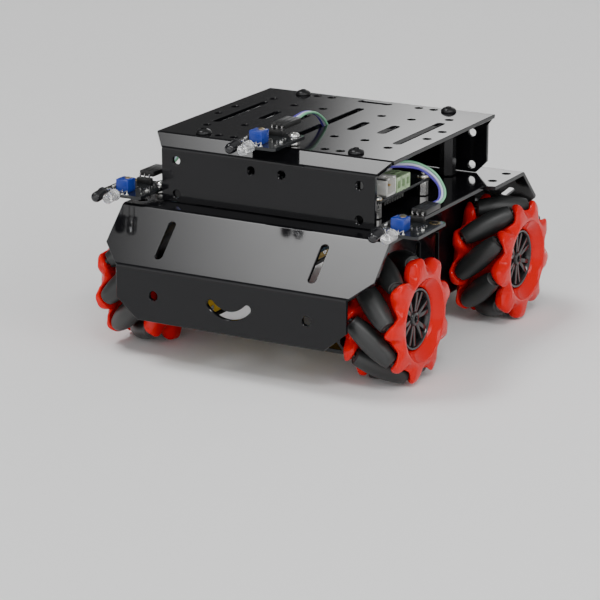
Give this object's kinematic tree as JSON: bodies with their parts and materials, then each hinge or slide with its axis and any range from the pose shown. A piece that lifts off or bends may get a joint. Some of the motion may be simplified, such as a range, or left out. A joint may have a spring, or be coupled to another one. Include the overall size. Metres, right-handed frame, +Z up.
{
  "type": "four wheel robot chassis",
  "caption": "Low wheeled robot platform with omnidirectional roller wheels, a bent black main plate with bumpers, a raised perforated deck, motors, controller and distance sensors.",
  "frame": {"origin": "on the ground, at the centre of the chassis footprint", "axes": "+Z up, the front of the robot towards -Y, its right wheels on +X"},
  "size_m": [0.168, 0.1896, 0.1116],
  "materials": {
    "sheet_metal": "gloss black anodised sheet",
    "wheel_rim": "glossy red moulded rim",
    "roller_rubber": "satin black rubber",
    "motor_case": "satin yellow moulding",
    "pillar_metal": "black anodised pillar with black screw",
    "circuit_board": "black solder mask with mounted components",
    "battery_pack": "dark tray with two wrapped cells",
    "cable": "three-wire ribbon in purple, white and green"
  },
  "bodies": {
    "chassis": {"main_plate": "sheet_metal", "top_deck": "sheet_metal", "motor_rail_right": "sheet_metal", "motor_rail_left": "sheet_metal", "controller_board": "circuit_board", "battery_pack": "battery_pack", "deck_pillar_front_left": "pillar_metal", "gear_motor_front_left": "motor_case", "deck_pillar_front_right": "pillar_metal", "gear_motor_front_right": "motor_case", "deck_pillar_rear_left": "pillar_metal", "gear_motor_rear_left": "motor_case", "deck_pillar_rear_right": "pillar_metal", "gear_motor_rear_right": "motor_case", "sensor_right": "circuit_board", "sensor_cable_right": "cable", "sensor_left": "circuit_board", "sensor_cable_left": "cable", "sensor_top": "circuit_board", "sensor_cable_top": "cable"},
    "wheel_front_right": {"wheel_front_right": "wheel_rim"},
    "roller_front_right_1": {"roller_front_right_1": "roller_rubber"},
    "roller_front_right_2": {"roller_front_right_2": "roller_rubber"},
    "roller_front_right_3": {"roller_front_right_3": "roller_rubber"},
    "roller_front_right_4": {"roller_front_right_4": "roller_rubber"},
    "roller_front_right_5": {"roller_front_right_5": "roller_rubber"},
    "roller_front_right_6": {"roller_front_right_6": "roller_rubber"},
    "roller_front_right_7": {"roller_front_right_7": "roller_rubber"},
    "roller_front_right_8": {"roller_front_right_8": "roller_rubber"},
    "roller_front_right_9": {"roller_front_right_9": "roller_rubber"},
    "wheel_rear_right": {"wheel_rear_right": "wheel_rim"},
    "roller_rear_right_1": {"roller_rear_right_1": "roller_rubber"},
    "roller_rear_right_2": {"roller_rear_right_2": "roller_rubber"},
    "roller_rear_right_3": {"roller_rear_right_3": "roller_rubber"},
    "roller_rear_right_4": {"roller_rear_right_4": "roller_rubber"},
    "roller_rear_right_5": {"roller_rear_right_5": "roller_rubber"},
    "roller_rear_right_6": {"roller_rear_right_6": "roller_rubber"},
    "roller_rear_right_7": {"roller_rear_right_7": "roller_rubber"},
    "roller_rear_right_8": {"roller_rear_right_8": "roller_rubber"},
    "roller_rear_right_9": {"roller_rear_right_9": "roller_rubber"},
    "wheel_front_left": {"wheel_front_left": "wheel_rim"},
    "roller_front_left_1": {"roller_front_left_1": "roller_rubber"},
    "roller_front_left_2": {"roller_front_left_2": "roller_rubber"},
    "roller_front_left_3": {"roller_front_left_3": "roller_rubber"},
    "roller_front_left_4": {"roller_front_left_4": "roller_rubber"},
    "roller_front_left_5": {"roller_front_left_5": "roller_rubber"},
    "roller_front_left_6": {"roller_front_left_6": "roller_rubber"},
    "roller_front_left_7": {"roller_front_left_7": "roller_rubber"},
    "roller_front_left_8": {"roller_front_left_8": "roller_rubber"},
    "roller_front_left_9": {"roller_front_left_9": "roller_rubber"},
    "wheel_rear_left": {"wheel_rear_left": "wheel_rim"},
    "roller_rear_left_1": {"roller_rear_left_1": "roller_rubber"},
    "roller_rear_left_2": {"roller_rear_left_2": "roller_rubber"},
    "roller_rear_left_3": {"roller_rear_left_3": "roller_rubber"},
    "roller_rear_left_4": {"roller_rear_left_4": "roller_rubber"},
    "roller_rear_left_5": {"roller_rear_left_5": "roller_rubber"},
    "roller_rear_left_6": {"roller_rear_left_6": "roller_rubber"},
    "roller_rear_left_7": {"roller_rear_left_7": "roller_rubber"},
    "roller_rear_left_8": {"roller_rear_left_8": "roller_rubber"},
    "roller_rear_left_9": {"roller_rear_left_9": "roller_rubber"}
  },
  "joints": [
    {"name": "wheel_front_right_spin", "type": "hinge", "parent": "chassis", "child": "wheel_front_right", "pos_m": [0.065, -0.056, 0.03], "axis": [1, 0, 0], "continuous": true},
    {"name": "roller_front_right_1_spin", "type": "hinge", "parent": "wheel_front_right", "child": "roller_front_right_1", "pos_m": [0.065, -0.04908, 0.0535], "axis": [-0.7071, 0.6783, -0.1996], "continuous": true},
    {"name": "roller_front_right_2_spin", "type": "hinge", "parent": "wheel_front_right", "child": "roller_front_right_2", "pos_m": [0.065, -0.03559, 0.04356], "axis": [-0.7071, 0.3913, -0.589], "continuous": true},
    {"name": "roller_front_right_3_spin", "type": "hinge", "parent": "wheel_front_right", "child": "roller_front_right_3", "pos_m": [0.065, -0.03165, 0.02727], "axis": [-0.7071, -0.0788, -0.7027], "continuous": true},
    {"name": "roller_front_right_4_spin", "type": "hinge", "parent": "wheel_front_right", "child": "roller_front_right_4", "pos_m": [0.065, -0.0391, 0.01226], "axis": [-0.7071, -0.5121, -0.4876], "continuous": true},
    {"name": "roller_front_right_5_spin", "type": "hinge", "parent": "wheel_front_right", "child": "roller_front_right_5", "pos_m": [0.065, -0.05446, 0.00555], "axis": [-0.7071, -0.7057, -0.0444], "continuous": true},
    {"name": "roller_front_right_6_spin", "type": "hinge", "parent": "wheel_front_right", "child": "roller_front_right_6", "pos_m": [0.065, -0.07054, 0.01028], "axis": [-0.7071, -0.5691, 0.4196], "continuous": true},
    {"name": "roller_front_right_7_spin", "type": "hinge", "parent": "wheel_front_right", "child": "roller_front_right_7", "pos_m": [0.065, -0.07981, 0.02424], "axis": [-0.7071, -0.1663, 0.6873], "continuous": true},
    {"name": "roller_front_right_8_spin", "type": "hinge", "parent": "wheel_front_right", "child": "roller_front_right_8", "pos_m": [0.065, -0.07794, 0.04089], "axis": [-0.7071, 0.3144, 0.6334], "continuous": true},
    {"name": "roller_front_right_9_spin", "type": "hinge", "parent": "wheel_front_right", "child": "roller_front_right_9", "pos_m": [0.065, -0.06581, 0.05245], "axis": [-0.7071, 0.648, 0.2831], "continuous": true},
    {"name": "wheel_rear_right_spin", "type": "hinge", "parent": "chassis", "child": "wheel_rear_right", "pos_m": [0.065, 0.056, 0.03], "axis": [1, 0, 0], "continuous": true},
    {"name": "roller_rear_right_1_spin", "type": "hinge", "parent": "wheel_rear_right", "child": "roller_rear_right_1", "pos_m": [0.065, 0.05668, 0.05449], "axis": [0.7071, 0.7068, -0.0197], "continuous": true},
    {"name": "roller_rear_right_2_spin", "type": "hinge", "parent": "wheel_rear_right", "child": "roller_rear_right_2", "pos_m": [0.065, 0.07227, 0.04832], "axis": [0.7071, 0.5288, -0.4695], "continuous": true},
    {"name": "roller_rear_right_3_spin", "type": "hinge", "parent": "wheel_rear_right", "child": "roller_rear_right_3", "pos_m": [0.065, 0.08024, 0.03358], "axis": [0.7071, 0.1033, -0.6995], "continuous": true},
    {"name": "roller_rear_right_4_spin", "type": "hinge", "parent": "wheel_rear_right", "child": "roller_rear_right_4", "pos_m": [0.065, 0.07687, 0.01716], "axis": [0.7071, -0.3705, -0.6023], "continuous": true},
    {"name": "roller_rear_right_5_spin", "type": "hinge", "parent": "wheel_rear_right", "child": "roller_rear_right_5", "pos_m": [0.065, 0.06373, 0.00675], "axis": [0.7071, -0.671, -0.2232], "continuous": true},
    {"name": "roller_rear_right_6_spin", "type": "hinge", "parent": "wheel_rear_right", "child": "roller_rear_right_6", "pos_m": [0.065, 0.04698, 0.00722], "axis": [0.7071, -0.6575, 0.2603], "continuous": true},
    {"name": "roller_rear_right_7_spin", "type": "hinge", "parent": "wheel_rear_right", "child": "roller_rear_right_7", "pos_m": [0.065, 0.03445, 0.01835], "axis": [0.7071, -0.3363, 0.622], "continuous": true},
    {"name": "roller_rear_right_8_spin", "type": "hinge", "parent": "wheel_rear_right", "child": "roller_rear_right_8", "pos_m": [0.065, 0.032, 0.03493], "axis": [0.7071, 0.1422, 0.6927], "continuous": true},
    {"name": "roller_rear_right_9_spin", "type": "hinge", "parent": "wheel_rear_right", "child": "roller_rear_right_9", "pos_m": [0.065, 0.04078, 0.0492], "axis": [0.7071, 0.5542, 0.4392], "continuous": true},
    {"name": "wheel_front_left_spin", "type": "hinge", "parent": "chassis", "child": "wheel_front_left", "pos_m": [-0.065, -0.056, 0.03], "axis": [1, 0, 0], "continuous": true},
    {"name": "roller_front_left_1_spin", "type": "hinge", "parent": "wheel_front_left", "child": "roller_front_left_1", "pos_m": [-0.065, -0.05668, 0.05449], "axis": [-0.7071, -0.7068, -0.0197], "continuous": true},
    {"name": "roller_front_left_2_spin", "type": "hinge", "parent": "wheel_front_left", "child": "roller_front_left_2", "pos_m": [-0.065, -0.07227, 0.04832], "axis": [-0.7071, -0.5288, -0.4695], "continuous": true},
    {"name": "roller_front_left_3_spin", "type": "hinge", "parent": "wheel_front_left", "child": "roller_front_left_3", "pos_m": [-0.065, -0.08024, 0.03358], "axis": [-0.7071, -0.1033, -0.6995], "continuous": true},
    {"name": "roller_front_left_4_spin", "type": "hinge", "parent": "wheel_front_left", "child": "roller_front_left_4", "pos_m": [-0.065, -0.07687, 0.01716], "axis": [-0.7071, 0.3705, -0.6023], "continuous": true},
    {"name": "roller_front_left_5_spin", "type": "hinge", "parent": "wheel_front_left", "child": "roller_front_left_5", "pos_m": [-0.065, -0.06373, 0.00675], "axis": [-0.7071, 0.671, -0.2232], "continuous": true},
    {"name": "roller_front_left_6_spin", "type": "hinge", "parent": "wheel_front_left", "child": "roller_front_left_6", "pos_m": [-0.065, -0.04698, 0.00722], "axis": [-0.7071, 0.6575, 0.2603], "continuous": true},
    {"name": "roller_front_left_7_spin", "type": "hinge", "parent": "wheel_front_left", "child": "roller_front_left_7", "pos_m": [-0.065, -0.03445, 0.01835], "axis": [-0.7071, 0.3363, 0.622], "continuous": true},
    {"name": "roller_front_left_8_spin", "type": "hinge", "parent": "wheel_front_left", "child": "roller_front_left_8", "pos_m": [-0.065, -0.032, 0.03493], "axis": [-0.7071, -0.1422, 0.6927], "continuous": true},
    {"name": "roller_front_left_9_spin", "type": "hinge", "parent": "wheel_front_left", "child": "roller_front_left_9", "pos_m": [-0.065, -0.04078, 0.0492], "axis": [-0.7071, -0.5542, 0.4392], "continuous": true},
    {"name": "wheel_rear_left_spin", "type": "hinge", "parent": "chassis", "child": "wheel_rear_left", "pos_m": [-0.065, 0.056, 0.03], "axis": [1, 0, 0], "continuous": true},
    {"name": "roller_rear_left_1_spin", "type": "hinge", "parent": "wheel_rear_left", "child": "roller_rear_left_1", "pos_m": [-0.065, 0.04908, 0.0535], "axis": [0.7071, -0.6783, -0.1996], "continuous": true},
    {"name": "roller_rear_left_2_spin", "type": "hinge", "parent": "wheel_rear_left", "child": "roller_rear_left_2", "pos_m": [-0.065, 0.03559, 0.04356], "axis": [0.7071, -0.3913, -0.589], "continuous": true},
    {"name": "roller_rear_left_3_spin", "type": "hinge", "parent": "wheel_rear_left", "child": "roller_rear_left_3", "pos_m": [-0.065, 0.03165, 0.02727], "axis": [0.7071, 0.0788, -0.7027], "continuous": true},
    {"name": "roller_rear_left_4_spin", "type": "hinge", "parent": "wheel_rear_left", "child": "roller_rear_left_4", "pos_m": [-0.065, 0.0391, 0.01226], "axis": [0.7071, 0.5121, -0.4876], "continuous": true},
    {"name": "roller_rear_left_5_spin", "type": "hinge", "parent": "wheel_rear_left", "child": "roller_rear_left_5", "pos_m": [-0.065, 0.05446, 0.00555], "axis": [0.7071, 0.7057, -0.0444], "continuous": true},
    {"name": "roller_rear_left_6_spin", "type": "hinge", "parent": "wheel_rear_left", "child": "roller_rear_left_6", "pos_m": [-0.065, 0.07054, 0.01028], "axis": [0.7071, 0.5691, 0.4196], "continuous": true},
    {"name": "roller_rear_left_7_spin", "type": "hinge", "parent": "wheel_rear_left", "child": "roller_rear_left_7", "pos_m": [-0.065, 0.07981, 0.02424], "axis": [0.7071, 0.1663, 0.6873], "continuous": true},
    {"name": "roller_rear_left_8_spin", "type": "hinge", "parent": "wheel_rear_left", "child": "roller_rear_left_8", "pos_m": [-0.065, 0.07794, 0.04089], "axis": [0.7071, -0.3144, 0.6334], "continuous": true},
    {"name": "roller_rear_left_9_spin", "type": "hinge", "parent": "wheel_rear_left", "child": "roller_rear_left_9", "pos_m": [-0.065, 0.06581, 0.05245], "axis": [0.7071, -0.648, 0.2831], "continuous": true}
  ]
}
